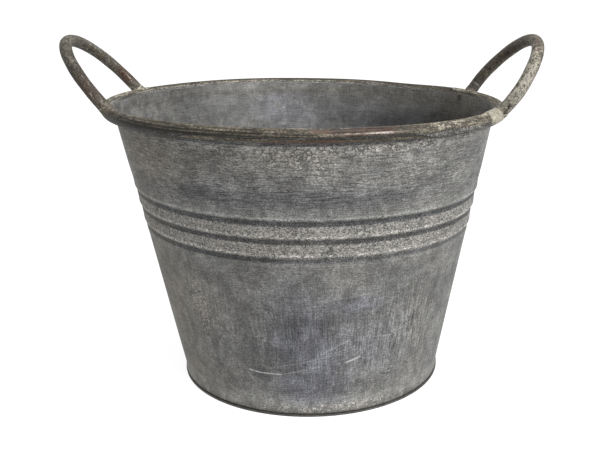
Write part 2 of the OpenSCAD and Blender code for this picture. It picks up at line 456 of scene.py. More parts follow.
def patina():
    """The worn brown film on the rolled edge and the bars. Its masks: rust for warm, rubbed for streak,
    and for brush how far bare zinc shows."""
    s = Shader("rim_patina")
    flow = s.flow()
    tone, rust, pale = s.mask("stain_and_highlight")
    dark, rubbed, bare = s.mask("grain_and_shade")

    grit = s.noise(flow, (1.0, 0.8, 0.8), 2.2, 2.0, 0.8)
    fine = s.noise(flow, (3.2, 2.2, 2.2), 7.2, 3.0, 0.7)
    mottle = s.noise(flow, (9, 5, 5), 6.1, 4.0, 0.62)
    cloud = s.noise(flow, (30, 12, 12), 4.4, 3.0, 0.5, 0.5)
    rub = s.noise(flow, (17, 0.6, 0.6), 11.0, 3.0, 0.75, 0.15)
    speck = s.noise(flow, (2.2, 1.6, 1.6), 15.0, 2.0, 0.6)

    # Rusty places are smoother and less metallic than the rest.
    redness = s.step(s.plus(rust, (cloud, 1.3), (mottle, 1.3)), 0.38, 0.72)
    calm = s.sum(1.0, s.times(redness, -0.7))
    value = s.vary(1.0, grit, s.times(calm, 7.0))
    value = s.vary(value, fine, s.times(calm, 3.4))
    value = s.vary(value, mottle, 3.0)
    value = s.vary(value, rub, s.times(rubbed, 7.5))
    value = s.times(value, s.times(tone, 2.0))
    # This darkening is dark stains and also painted shade under the roll, at its free edge and in its
    # creases.
    black_and_shade = s.step(s.plus(dark, (rub, 1.4), (mottle, 2.0), (fine, 1.2)), 0.36, 0.68)
    value = s.times(value, s.sum(1.0, s.times(black_and_shade, -0.74)))
    value = s.most(value, 0.12)
    tint = s.blend(s.step(cloud, 0.38, 0.62), FILM_DARK, FILM_LIGHT)
    tint = s.blend(redness, tint, RUST)
    show = s.step(s.plus(bare, (mottle, 1.6), (fine, 0.8)), 0.35, 0.60)
    tint = s.blend(show, tint, WORN_ZINC)
    colour = s.lit(tint, value)

    # Cream flecks of zinc that still shows through, and the painted highlight streak on the front of the
    # roll.
    cream = s.plus(pale, (mottle, 1.9), (fine, 1.8))
    cream = s.sum(cream, s.times(s.less(rub, 0.5), s.times(rubbed, 2.0)))
    cream = s.times(s.step(cream, 0.42, 0.70), s.step(speck, 0.46, 0.58, 1.0, 0.2))
    cream = s.times(cream, s.sum(1.0, s.times(black_and_shade, -0.6)))
    light = s.times(s.vary(1.0, grit, 3.4), s.sum(tone, 0.57))
    colour = s.blend(s.times(cream, 0.9), colour, s.lit(CREAM, light))

    rough = s.plus(0.60, (fine, 0.4))
    rough = s.sum(rough, s.sum(s.times(redness, -0.36), s.times(cream, 0.10)))
    height = s.plus(0.0, (fine, 0.6), (mottle, 0.9), (grit, 0.3))
    height = s.sum(height, s.times(s.times(rub, rubbed), 1.2))
    height = s.sum(s.times(height, s.sum(1.0, s.times(redness, -0.8))), s.times(black_and_shade, -0.6))
    return s.finish(colour, s.times(calm, 0.25), rough, s.bump(height, 0.42 * MM, 0.8))


def solder():
    """Wiped solder. Its masks: warm for how far a brown film covers it."""
    s = Shader("wiped_solder")
    flow = s.flow()
    tone, film, _ = s.mask("stain_and_highlight")
    grit = s.noise(flow, (1.2, 1.2, 1.2), 3.3, 2.0, 0.7)
    mottle = s.noise(flow, (4, 4, 4), 7.1, 4.0, 0.6)
    speck = s.noise(flow, (2.0, 2.0, 2.0), 12.0, 2.0, 0.6)
    value = s.vary(s.vary(1.0, mottle, 1.4), grit, 2.2)
    value = s.most(s.times(value, s.times(tone, 2.0)), 0.15)
    tint = s.blend(s.step(mottle, 0.42, 0.60), SOLDER_DARK, SOLDER_LIGHT)
    film = s.step(s.plus(film, (mottle, 1.5), (speck, 1.2)), 0.35, 0.60)
    tint = s.blend(film, tint, SOLDER_FILM)
    normal = s.bump(s.sum(grit, mottle), 0.4 * MM, 0.7)
    return s.finish(s.lit(tint, value), 0.3, 0.48, normal)


def pan_zinc():
    """Zinc for the CAD pan, which has no flow coordinates: it reads the object's own."""
    s = Shader("pan_zinc")
    place = s.node("ShaderNodeTexCoord", out=3)
    grit = s.noise(place, (1.2, 1.2, 1.0), 3.1, 2.0, 0.7)
    fine = s.noise(place, (2.6, 2.6, 1.8), 5.1, 3.0, 0.7)
    mottle = s.noise(place, (9, 9, 5), 8.3, 4.0, 0.6)
    value = s.vary(s.vary(s.vary(1.0, grit, 2.0), fine, 1.4), mottle, 0.8)
    tint = s.blend(s.step(mottle, 0.40, 0.60), PAN_DARK, PAN_LIGHT)
    # The lip is painted dark as shade near the floor, with a lighter line along its middle.
    height = s.plus(s.parts(place)[2], (fine, 1.2 * MM))
    from_middle = s.math("ABSOLUTE", s.less(height, 0.9 * MM), 0.0)
    edge = s.less(1.0, s.step(from_middle, 0.2 * MM, 0.6 * MM, 0.55, 0.0))
    edge = s.times(edge, s.step(height, 2.3 * MM, 2.6 * MM, 0.9, 0.0))
    tint = s.blend(edge, tint, LIP_SHADE)
    normal = s.bump(s.sum(fine, mottle), 0.3 * MM, 0.6)
    return s.finish(s.lit(tint, s.most(value, 0.15)), 0.35, 0.50, normal)


ZINC, PATINA, SOLDER, PAN_ZINC = zinc(), patina(), solder(), pan_zinc()

# ---------------------------------------------------------------- the wall

# A swaged bead: (distance up the wall from the crest, how far the sheet stands out), both in mm.
BEAD_SHAPE = np.array([
    (-9, 0), (-7, -0.08), (-5.2, -0.28), (-3.7, -0.50), (-2.7, -0.46), (-1.9, -0.20), (-1.1, 0.24),
    (-0.4, 0.54), (0.4, 0.60), (1.4, 0.46), (3, 0.24), (5.5, 0.07), (8.5, 0),
])
# The flattened stretch of the lowest bead: azimuth, half width, depth in mm.
BEAD_DENTS = [(-84.3, 1.3, 0.7), (-81.2, 0.9, 0.5)]


def bead_wave(d):
    """The bead's shape at distance d up the wall from its crest, rounded over half a millimetre."""
    up, out = BEAD_SHAPE.T * MM
    return sum(np.interp(d + k * 0.25 * MM, up, out) for k in (-1, 0, 1)) / 3


def wall_points(s, layer, az):
    """(r, z) on the wall, s up it from the top of the foot and layer outside its outer face."""
    # The beads grow towards the right. Below the lowest one the groove is shallower, with a faint ridge.
    swell = 0.85 + 0.35 * smooth(turned(az, FRONT), -70, 20)
    wave = sum(bead_wave(s - crest) for crest in BEADS)
    wave = np.where((s < BEADS[2] - 1.5 * MM) & (wave < 0), 0.6 * wave, wave)
    wave = wave + 0.22 * MM * hump(s, BEADS[2] - 8.4 * MM, 1.3 * MM)
    dent = sum(deep * hump(turned(az, at), 0, wide) for at, wide, deep in BEAD_DENTS)
    dent = dent * MM * hump(s, BEADS[2] - 1 * MM, 3 * MM)
    z = FOOT_H + s * math.cos(TAPER)
    # The wall is a little fuller between the beads and the rim.
    full = 0.45 * MM * smooth(z, 168 * MM, 186 * MM) * (1 - smooth(z, 216 * MM, 225 * MM))
    out = layer + swell * wave + full - dent
    return BAND_R + s * math.sin(TAPER) + out * math.cos(TAPER), z - out * math.sin(TAPER)


def run_steps():
    """Distances up the wall: close together over the beads and under the rim, wide apart elsewhere."""
    low, high, neck = BEADS[2] - 12 * MM, BEADS[0] + 9 * MM, RUN - 9 * MM
    stops = [(0, low, 40), (low, high, 110), (high, neck, 12), (neck, RUN, 16)]
    return np.concatenate([np.linspace(a, b, n, endpoint=b == RUN) for a, b, n in stops])


def curl_end(az):
    """The angle below the horizontal of the roll's free edge: less at the front than elsewhere."""
    return 12 + 62 * smooth(np.abs(turned(az, FRONT)), 27, 36)


# The parts of a wall section.
OUTER, CURL, INNER = 0, 1, 2


def wall_section(az):
    """The closed outline of the sheet at these azimuths: (r, z, part), one row for each azimuth."""
    az = np.asarray(az, float)[:, None]
    s = run_steps()[None, :]
    turn_in = 180 - math.degrees(TAPER)
    end = -curl_end(az)
    over = turn_in + (end - turn_in) * np.linspace(0, 1, 30)[None, 1:]
    back = end + (turn_in - end) * np.linspace(0, 1, 44)[None, :-1]

    def flat(*points):
        r, z = np.array(points).T
        return r[None, :] + 0 * az, z[None, :] + 0 * az

    def arc(r, angle):
        return RIM_R + r * np.cos(np.radians(angle)), RIM_Z + r * np.sin(np.radians(angle))

    top_z = STEP_Z + STEP_H
    foot = flat((TUCK_R - SHEET, EDGE_Z), (TUCK_R, EDGE_Z), (TUCK_R, STEP_Z), (BAND_R, top_z))
    heel = flat((BAND_R - SHEET, top_z), (TUCK_R - SHEET, STEP_Z))
    pieces = [
        (*foot, OUTER),
        (*wall_points(s, 0.0, az), OUTER),
        (*arc(ROLL_R - SHEET, over), CURL),
        (*arc(ROLL_R, back), CURL),
        (*wall_points(s[:, ::-1], -SHEET, az), INNER),
        (*heel, INNER),
    ]
    r = np.concatenate([p[0] for p in pieces], 1)
    z = np.concatenate([p[1] for p in pieces], 1)
    part = np.concatenate([np.full(p[0].shape[1], p[2]) for p in pieces])
    return r, z, part


def spots(az, z, table):
    """The sum of soft spots, each (azimuth, height in mm, half widths in degrees and mm, strength)."""
    total = np.zeros(np.broadcast(az, z).shape)
    for centre, height, wide, tall, strength in table:
        q = (turned(az, centre) / wide) ** 2 + ((z / MM - height) / tall) ** 2
        total += strength * np.exp(-(q**1.4))
    return total


# Stains on the outside, by azimuth and height.
OUTER_SPOTS = {
    "dark": [
        (-110, 181, 22, 9, 0.50), (-78, 180, 17, 8, 0.42), (-126, 186, 8, 6, 0.3), (-62, 184, 10, 6, 0.3),
        (-148, 180, 10, 11, 0.45), (-72, 203, 5, 8, 0.35), (-120, 197, 10, 5, 0.25),
        (-95, 197, 9, 4, 0.25), (-112, 58, 5, 13, 0.50), (-109, 36, 4, 8, 0.60), (-98, 62, 6, 44, 0.35),
        (-88, 80, 8, 22, 0.30), (-139, 66, 2.4, 14, 0.55), (-80, 84, 17, 4, 0.32), (-80, 20, 8, 6, 0.30),
        (-104, 22, 8, 4, 0.35), (-30, 96, 8, 12, 0.45), (-55, 122, 12, 6, 0.25), (-152, 30, 9, 14, 0.30),
        (-62, 112, 14, 12, 0.25), (-150, 108, 11, 14, 0.25), (-29, 206, 3, 5, 0.35),
        (-68, 52, 6, 18, 0.28), (-86, 32, 6, 8, 0.25), (-120, 8, 8, 6, 0.2),
    ],
    "pale": [
        (-92, 212, 15, 9, 0.62), (-62, 217, 14, 4, 0.45), (-116, 214, 8, 7, 0.35),
        (-132, 96, 5, 15, 0.95), (-130, 74, 4, 14, 0.70), (-126, 190, 8, 5, 0.35),
        (-97, 194, 10, 4, 0.35), (-85, 199, 6, 5, 0.30), (-108, 200, 7, 5, 0.25), (-70, 192, 8, 5, 0.25),
        (-35, 200, 12, 20, 0.18), (-90, 6, 60, 4, 0.50), (-36, 30, 14, 34, 0.18), (-58, 28, 9, 16, 0.18),
        (-46, 124, 8, 6, 0.30), (-118, 104, 4, 22, 0.22), (-120, 30, 10, 8, 0.2), (-75, 8, 14, 6, 0.25),
    ],
    "warm": [
        (-152, 90, 14, 90, 1.0), (-146, 206, 22, 22, 1.1), (-132, 92, 8, 26, 0.50), (-92, 4, 60, 4, 0.50),
        (-138, 22, 14, 16, 0.50), (-92, 150, 70, 12, 0.25), (-95, 212, 20, 8, 0.30),
    ],
    "tone": [
        (-155, 110, 14, 140, -0.05), (-33, 60, 20, 60, 0.03), (-58, 50, 12, 26, 0.08),
        (-98, 66, 5, 34, -0.06), (-132, 92, 6, 22, 0.05), (-106, 56, 4, 12, -0.05),
        (-84, 92, 8, 16, 0.03), (-72, 34, 8, 10, 0.04), (-38, 96, 8, 10, -0.05), (-80, 9, 52, 9, 0.32),
        (-155, 212, 20, 20, -0.10), (-128, 205, 14, 26, -0.03), (-85, 203, 24, 12, 0.07),
        (-92, 181, 34, 9, -0.03), (-90, 198, 9, 6, 0.05), (-36, 195, 10, 16, -0.01),
        (-95, 80, 26, 60, -0.01),
    ],
    "cold": [
        (-95, 65, 11, 48, 1.0), (-74, 98, 10, 8, 0.9), (-80, 60, 12, 34, 0.6), (-100, 182, 44, 10, 0.3),
        (-62, 60, 9, 30, 0.4), (-88, 24, 12, 16, 0.8),
    ],
    "streak": [(-84, 64, 36, 48, 0.75), (-42, 72, 24, 50, 0.75), (-130, 84, 12, 40, 0.6)],
}
# Stains on the inside.
INNER_SPOTS = {
    "dark": [
        (40, 196, 22, 20, 0.55), (25, 205, 12, 24, 0.40), (80, 205, 9, 18, 0.35), (60, 190, 14, 18, 0.30),
        (112, 205, 2, 6, 0.45), (121, 200, 3, 8, 0.40), (136, 212, 4, 5, 0.45), (90, 222, 4, 3, 0.40),
        (150, 200, 3, 10, 0.25), (98, 211, 1.2, 4, 0.5), (24.0, 226.5, 0.9, 2.6, 1.4),
        (84, 190, 2, 6, 0.3), (16, 212, 3, 8, 0.5),
    ],
    "pale": [
        (100, 208, 3, 8, 0.38), (107, 215, 4, 6, 0.42), (94, 203, 3, 9, 0.35), (85, 218, 3, 2, 0.50),
        (128, 205, 6, 9, 0.20), (146, 213, 5, 5, 0.30), (114, 219, 3, 3, 0.45), (104, 221, 2, 2, 0.7),
    ],
    "warm": [(22, 215, 14, 30, 0.80), (105, 224, 60, 4, 0.30), (60, 222, 40, 5, 0.35)],
    "tone": [(25, 200, 30, 60, -0.03), (125, 200, 24, 60, -0.14), (92, 205, 12, 16, 0.09)],
    "cold": [(97, 205, 12, 20, 0.9), (66, 195, 20, 20, 0.4)],
}
# The rolled edge, by azimuth and by angle round the roll (0 outward, 90 up). Warm is rust here.
CURL_SPOTS = {
    "tone": [
        (-142, 40, 30, 90, -0.06), (-132, -15, 20, 42, -0.20), (-75, 60, 11, 42, -0.20),
        # (-72, 101) paints a highlight along the top of the roll, (-77, 23) a highlight streak across its
        # front.
        (-88, 72, 8, 20, -0.10), (-20, 60, 14, 90, 0.06), (-72, 101, 17, 6, 0.25), (-77, 23, 9, 6, 0.10),
        (-50, 76, 8, 26, 0.06), (90, 96, 75, 18, -0.24), (-64, 40, 8, 24, -0.10),
    ],
    "warm": [
        (-75, 50, 10.5, 60, 1.0), (-86, 60, 9, 26, 0.38), (-125, 62, 5, 14, 0.60),
        (-108, 55, 8, 25, 0.15), (-98, 72, 8, 16, 0.35), (70, 90, 30, 40, 0.35), (-40, 60, 10, 40, 0.15),
        (100, 85, 14, 30, 0.35), (-80, -25, 16, 14, 0.08),
    ],
    "pale": [
        (-24, 60, 11, 150, 0.55), (-42, 70, 9, 50, 0.42), (-54, 66, 7, 60, 0.26), (-98, 96, 12, 6, 0.5),
        (-88, 78, 6, 14, 0.55), (-76, 80, 5, 10, 0.45), (-150, 80, 22, 50, 0.25),
        (150, 100, 40, 50, 0.30), (128, 118, 10, 14, 0.35), (30, 100, 20, 40, 0.32),
        # (-77, 24) is the painted highlight streak across the front of the roll, in cream.
        (-98, 25, 4, 20, 0.45), (-52, 30, 8, 30, 0.30), (-77, 24, 8, 5, 0.72), (-92, 84, 9, 8, 0.25),
        (-178, 60, 14, 60, 0.45), (108, 142, 50, 10, 0.45), (165, 95, 12, 40, 0.45),
    ],
    "dark": [
        (-112, 28, 20, 10, 0.45), (-118, -2, 24, 9, 0.55), (-140, -10, 20, 30, 0.35),
        (-96, 30, 14, 8, 0.30), (-72, 10, 14, 10, 0.40), (-35, -10, 5, 26, 0.65), (-95, 48, 14, 8, 0.25),
        (-45, 50, 5, 18, 0.35), (-40, 45, 3.5, 22, 0.60), (29, 120, 2.5, 24, 0.8), (40, 75, 20, 20, 0.2),
        (172, 150, 8, 20, 0.5), (8, 130, 6, 14, 0.6), (18, 142, 4, 10, 0.7), (-6, 110, 4, 12, 0.5),
    ],
}
# Painted shade in the creases along the rolled edge: angle round the roll at the front, its drift by
# azimuth, half width, first and last azimuth, strength.
CREASE_SHADES = [
    (20, -0.25, 4.0, -150, -84, 1.3), (52, -0.1, 3.0, -140, -96, 0.9), (3, -0.1, 3.5, -150, -62, 1.1),
    (75, -0.1, 3.0, -128, -100, 0.35), (-2, 0.0, 5.0, -82, -40, 0.5),
    (108, 0.0, 20, 18, 168, 0.85), (152, 0.0, 9.0, 8, 178, 0.42),
]


def wall_masks(az, r, z, part):
    """The masks over a wall section: soft spots from the tables, and what goes all round."""
    deg = np.broadcast_to(az[:, None], r.shape)
    roll = np.degrees(np.arctan2(z - RIM_Z, r - RIM_R))
    outer, curl, inner = (np.broadcast_to(part == k, r.shape) for k in (OUTER, CURL, INNER))
    values = {}
    for name in ("dark", "pale", "warm", "tone", "cold", "streak"):
        out, ins, rim = (t.get(name, ()) for t in (OUTER_SPOTS, INNER_SPOTS, CURL_SPOTS))
        values[name] = np.where(outer, spots(deg, z, out), np.where(inner, spots(deg, z, ins), 0))
        values[name] = np.where(curl, spots(deg, roll * MM, rim), values[name])
    beads = smooth(z, 132 * MM, 136 * MM) * (1 - smooth(z, 163 * MM, 169 * MM))
    above = smooth(z, 168 * MM, 178 * MM)

    def add(name, where, amount):
        values[name] += np.where(where, amount, 0)

    add("pale", outer, 0.55 * beads)
    # Painted shade lies under each bead, under the rolled edge, along the foot and at the roll's free edge,
    # stronger towards the left.
    for crest in BEADS:
        low = FOOT_H + crest * math.cos(TAPER) - 3.7 * MM
        under = np.exp(-np.abs((z - low) / (2.0 * MM)) ** 3)
        under = under * (1 - 0.35 * (crest == BEADS[2]) * smooth(deg, -115, -95))
        add("dark", outer, (1.5 - 0.5 * smooth(deg, -150, -60)) * under)
        values["pale"] *= np.where(outer, 1 - 0.85 * under, 1)
        # A painted highlight along each bead's crest.
        add("tone", outer, 0.30 * hump(z, low + 3.9 * MM, 1.1 * MM))
    # A fainter painted highlight on the low ridge below the beads, and the bead band a little lighter.
    add("tone", outer, 0.05 * hump(z, 130.5 * MM, 1.2 * MM) + 0.02 * beads)
    # A painted shadow line just under the rolled edge.
    line = z / MM - 219.6 - 1.1 * smooth(deg, -100, -55)
    add("dark", outer, 1.3 * smooth(line, 0, 1))
    # Painted light just under the rolled edge at the front, against the shadow the roll casts; the pale
    # there is zinc crust.
    neck = smooth(z, 214 * MM, 219 * MM) * smooth(np.cos(np.radians(deg + 70)), 0.3, 0.9)
    add("tone", outer, 0.36 * neck)
    add("pale", outer, 0.45 * neck)
    # Painted shade along the foot, darker towards the left.
    lip = 1 - smooth(z, 2.4 * MM, 3.0 * MM)
    add("dark", outer, (0.8 - 0.6 * smooth(deg, -125, -95)) * lip)
    # Painted shade in the gap at the roll's free edge and on the roll's underside.
    free = roll + curl_end(az)[:, None]
    underside = np.where((roll < -35) & (roll > -150), 0.3, 0)
    add("dark", curl, 0.9 * hump(free, 1, 7) + underside)
    # Painted shade in the creases along the roll.
    for at, drift, wide, first, last, deep in CREASE_SHADES:
        ends = smooth(deg, first, first + 8) * (1 - smooth(deg, last - 8, last))
        at = at + drift * (deg - FRONT) + 2 * np.sin(np.radians(deg * 9))
        add("dark", curl, deep * ends * hump(roll, at, wide))
    # The brown film wears off down the inner side of the roll.
    start = np.where(deg > 0, 126, 104) + 22 * hump(turned(deg, 5), 0, 30)
    bare = smooth(roll % 360, start, start + 32)
    values["brush"] = np.where(outer, 0.32 + 0.50 * above, np.where(inner, 0.38, bare))
    values["streak"] = np.where(curl, 0.6, values["streak"] + np.where(inner, 0.22, 0))
    values["gritty"] = np.where(outer, 0.46 + 0.59 * beads + 0.06 * above, np.where(inner, 0.27, 0.5))
    values["blotchy"] = np.where(inner, 0.18 + 0.14 * smooth(deg, 50, 90), np.where(outer, 0.26, 0))
    values["tone"] += np.where(curl, 0.40 + 0.10 * smooth(deg, -50, -35), np.where(inner, 0.40, 0.5))
    return masks(r.shape, **values)


def revolve(az, r, z, part=OUTER):
    """Points round the axis, and their flow coordinates: along the wall, up it, and through it."""
    a = np.radians(az)[:, None]
    points = np.stack([r * np.cos(a), r * np.sin(a), z], -1)
    roll = np.arctan2(z - RIM_Z, r - RIM_R) % (2 * math.pi)
    roll = np.where(roll > 1.5 * math.pi, roll - 2 * math.pi, roll)
    up = np.where(part == CURL, RIM_Z + ROLL_R * roll, z)
    through = np.where(part == CURL, np.hypot(z - RIM_Z, r - RIM_R), np.where(part == INNER, 0.03, 0.0))
    flow = np.stack([a * FLOW_R + 0 * r, up, through + 0 * r], -1)
    return points.reshape(-1, 3), flow.reshape(-1, 3)


def lap_shell(side, start):
    """The back sheet's flat lap over the front sheet, at +X or -X."""
    turn = math.degrees(LAP_WIDTH / RIM_R)
    az = np.linspace(0.8, -turn, 8)
    az = az if side > 0 else 180 - az
    s = run_steps()
    s = s[(s > 2 * MM) & (s < RUN - 8 * MM)][None, :]
    outer = wall_points(s, SHEET + CLEAR, az[:, None])
    inner = wall_points(s[:, ::-1], CLEAR, az[:, None])
    r = np.concatenate([outer[0], inner[0]], 1)
    z = np.concatenate([outer[1], inner[1]], 1)
    points, flow = revolve(az, r, z)
    mask = wall_masks(az, r, z, np.zeros(r.shape[1]))
    n = r.shape[1]
    faces = grid(len(az), n, wrap=True, start=start, flip=side > 0)
    first = [start + k for k in range(n)]
    last = [start + (len(az) - 1) * n + k for k in range(n)]
    faces += [first[::-1], last] if side > 0 else [first, last[::-1]]
    return points, flow, mask, faces


# Sections in half the wall: with many more, the exporter would thin out its mesh for the STL.
HALF_COLUMNS = 217


def half_wall(name, node, first, last, laps):
    """Half of the body from the first azimuth to the last, with a lap at each of these sides."""
    az = np.linspace(first, last, HALF_COLUMNS)
    r, z, part = wall_section(az)
    points, flow = revolve(az, r, z, part)
    mask = wall_masks(az, r, z, part)
    n = r.shape[1]
    faces = grid(len(az), n, wrap=True, flip=True)
    kind = [int(part[k] == CURL and part[(k + 1) % n] == CURL) for k in range(n)] * (len(az) - 1)
    faces += [list(range(n)), [(len(az) - 1) * n + k for k in range(n)][::-1]]
    kind += [0, 0]
    for side in laps:
        p, f, m, q = lap_shell(side, len(points))
        points, flow = np.concatenate([points, p]), np.concatenate([flow, f])
        mask = {k: np.concatenate([mask[k], m[k]]) for k in mask}
        faces += q
        kind += [0] * len(q)
    build(name, points, faces, flow, mask, [ZINC, PATINA], kind, node)


half_wall("front_sheet", "wall_front", -180.0, 0.0, ())
half_wall("back_sheet", "wall_back", 0.0, 180.0, (1, -1))

# ---------------------------------------------------------------- bars: the ring and the handles


def bar(name, node, centre, radius, look, closed=False, sides=36):
    """A round bar along a centre line. radius and look are functions of the share along it."""
    centre = np.array(centre)
    ahead = np.roll(centre, -1, 0) - np.roll(centre, 1, 0)
    if not closed:
        ahead[0], ahead[-1] = centre[1] - centre[0], centre[-1] - centre[-2]
    ahead /= np.linalg.norm(ahead, axis=1)[:, None]
    across = np.cross(ahead[0], [0.0, 0.0, 1.0])
    frames = []
    for t in ahead:
        across = across - t * across.dot(t)
        across /= np.linalg.norm(across)
        frames.append((across, np.cross(t, across)))
    u, v = (np.array([f[k] for f in frames])[:, None, :] for k in (0, 1))
    angle = np.linspace(0, 2 * math.pi, sides, endpoint=False)[None, :]
    along = np.concatenate([[0], np.cumsum(np.linalg.norm(np.diff(centre, axis=0), axis=1))])
    share = (along / along[-1])[:, None] + 0 * angle
    size = radius(share, angle)[..., None]
    cos, sin = np.cos(angle) + 0 * share, np.sin(angle) + 0 * share
    points = centre[:, None, :] + size * (cos[..., None] * u + sin[..., None] * v)
    flow = np.stack([along[:, None] + 0 * angle, BAR_R * cos, BAR_R * sin], -1)
    rows = len(centre)
    last = (rows - 1) * sides
    faces = grid(rows, sides, wrap=True)
    if closed:
        faces += [[last + k, last + (k + 1) % sides, (k + 1) % sides, k] for k in range(sides)]
    else:
        faces += [list(range(sides))[::-1], [last + k for k in range(sides)]]
    mask = masks(share.shape, **look(share))
    points, flow = points.reshape(-1, 3), flow.reshape(-1, 3)
    build(name, points, faces, flow, mask, [PATINA], None, node)


def ring_look(t):
    return {"tone": 0.55, "warm": 0.1 + 0.6 * hump(t, 0.77, 0.05), "pale": 0.25, "dark": 0.2, "streak": 0.5}


ring_az = np.radians(np.arange(0, 360, 1.0))
ring_line = np.stack([RIM_R * np.cos(ring_az), RIM_R * np.sin(ring_az), RIM_Z + 0 * ring_az], -1)
bar("rim_ring_bar", "rim_ring", ring_line, lambda t, a: RING_R + 0 * t, ring_look, closed=True)


def loop_line(side):
    """The centre line of a handle, from its front root on the rim to its back root."""
    rise, crown_r, half, shoulder_r, lean = HANDLES[side]
    half, lean = math.radians(half), math.radians(lean)
    hub = np.array([math.sin(half), math.cos(half)]) * (crown_r - shoulder_r) + [0, rise - crown_r]
    turn = math.acos(-hub[1] / shoulder_r)
    a = np.linspace(0, half, 24)
    b = np.linspace(half, turn, 60)[1:]
    crown = np.array([0, rise - crown_r]) + crown_r * np.stack([np.sin(a), np.cos(a)], -1)
    arm = hub + shoulder_r * np.stack([np.sin(b), np.cos(b)], -1)
    back = np.concatenate([crown, arm])
    plane = np.concatenate([(back * [-1, 1])[:0:-1], back])
    out = math.sqrt(RIM_R**2 - plane[-1, 0] ** 2) + plane[:, 1] * math.sin(lean)
    sign = 1 if side == "right" else -1
    return np.stack([sign * out, plane[:, 0], RIM_Z + plane[:, 1] * math.cos(lean)], -1)


def left_look(t):
    return {
        "tone": 0.40 + 0.03 * hump(t, 0.45, 0.2) + 0.05 * hump(t, 0.75, 0.15),
        "warm": 0.75 * hump(t, 0.13, 0.08) + 0.3 * hump(t, 0.33, 0.10) + 0.95 * hump(t, 0.89, 0.05) + 0.05,
        "pale": 0.2 * smooth(t, 0.05, 0.0) + 0.12 * hump(t, 0.5, 0.15) + 0.3 * smooth(t, 0.95, 1.0) + 0.38,
        "dark": 0.38 + 0.20 * hump(t, 0.20, 0.12),
        "streak": 0.12,
        "brush": 0.12 + 0.30 * hump(t, 0.72, 0.18),
    }


def right_look(t):
    return {
        "tone": 0.45 - 0.12 * smooth(t, 0.42, 0.2),
        "warm": 0.35 * hump(t, 0.36, 0.10) + 0.25 * hump(t, 0.93, 0.05) + 0.05,
        # The thin line at 0.936 is a painted highlight across the bar, at the top of the back weld's
        # collar.
        "pale": (
            0.58 * smooth(t, 0.42, 0.2) + 0.25 * hump(t, 0.47, 0.05) + 0.20
            + 1.6 * hump(t, 0.936, 0.003)
        ),
        "dark": (
            0.22 - 0.14 * smooth(t, 0.4, 0.3) + 0.10 * smooth(t, 0.5, 0.7)
            + 0.45 * smooth(t, 0.84, 0.94)
        ),
        "streak": 0.12,
        "brush": 0.10 + 0.40 * smooth(t, 0.35, 0.15),
    }


def worn(seed):
    """A bar's radius: nearly true, with slow waves and slight flats."""
    phase = np.random.default_rng(seed).uniform(0, 6.28, (2, 6))

    def radius(t, angle):
        slow = sum(np.sin(2 * math.pi * (k + 2) * t * 1.7 + phase[0, k]) / (k + 2) for k in range(6))
        flats = sum(np.sin(9 * (k + 1) * t + (k + 1) * angle + phase[1, k]) / (k + 1) for k in range(4))
        return BAR_R + 0.10 * MM * slow + 0.06 * MM * flats

    return radius


bar("left_handle_bar", "handle_left", loop_line("left"), worn(3), left_look)
bar("right_handle_bar", "handle_right", loop_line("right"), worn(5), right_look)

# ---------------------------------------------------------------- welds


class Lumps:
    """Uneven waves over a patch, for cast and wiped surfaces. They lie between about -1 and 1."""

    def __init__(self, seed, count=5):
        self.phase = np.random.default_rng(seed).uniform(0, 6.28, (2, count))
        self.count = count

    def __call__(self, a, b):
        one, two = self.phase
        return sum(
            np.sin((k + 2) * a + one[k]) * np.cos((k + 1) * b + two[k]) / (k + 2) for k in range(self.count)
        )


def collar(root, up, high, flare, lumps):
    """A lumpy skirt round the foot of a bar, closed by a face inside the bar: rings of points."""
    u = np.cross(up, [0.0, 0.0, 1.0])
    u /= np.linalg.norm(u)
    v = np.cross(up, u)
    angle = np.linspace(0, 2 * math.pi, 49)[:, None]
    level = np.linspace(0, 1, 16)[None, :]
    round_rim = np.cross([0.0, 0.0, 1.0], root)
    round_rim /= np.linalg.norm(round_rim)
    along = (np.cos(angle) * u.dot(round_rim) + np.sin(angle) * v.dot(round_rim)) ** 2
    tall = (2 + (high - 2) * level) * MM + 1.3 * MM * level * lumps(angle, 0 * level)
    outside = BAR_R + flare * along * (1 - level) ** 2 + 0.22 * MM * (1 - level**6) - 0.3 * MM * level**6
    outside = outside + 0.25 * MM * lumps(angle * 2, level * 9) * (1 - level**4)
    inside = BAR_R - 0.6 * MM + 0 * outside
    radius = np.concatenate([outside, inside[:, ::-1]], 1)[..., None]
    tall = np.concatenate([tall, tall[:, ::-1]], 1)[..., None]
    points = root + up * tall + radius * (np.cos(angle)[..., None] * u + np.sin(angle)[..., None] * v)
    points[-1] = points[0]
    share = np.concatenate([level, level[:, ::-1]], 1) + 0 * angle
    return points, share


def wipe(centre, span, tube, thick, power, lumps):
    """A thin pool of solder on the roll, whose ragged edge sinks into the roll: rows of points."""
    az = np.linspace(-1, 1, 57)[:, None]
    low, high = tube
    turn = np.linspace(low, high, 49)[None, :]
    side = (turn - (low + high) / 2) / ((high - low) / 2)
    reach = (np.abs(az) ** power + np.abs(side) ** power) ** (1 / power)
    edge = smooth(reach + 0.10 * lumps(az * 7, np.radians(turn) * 3), 0.72, 0.97)
    pool = thick * (1 - edge) + 0.10 * MM * lumps(az * 15, np.radians(turn) * 7) * (1 - edge) - 0.12 * MM
    a, t = np.radians(centre + span * az), np.radians(turn)
    layers = []
    for tall in (pool, 0 * pool - 0.5 * MM):
        rr = RIM_R + (ROLL_R + tall) * np.cos(t)
        zz = RIM_Z + (ROLL_R + tall) * np.sin(t)
        layers.append(np.stack([rr * np.cos(a), rr * np.sin(a), zz], -1))
    return np.concatenate([layers[0], layers[1][:, ::-1]], 1)


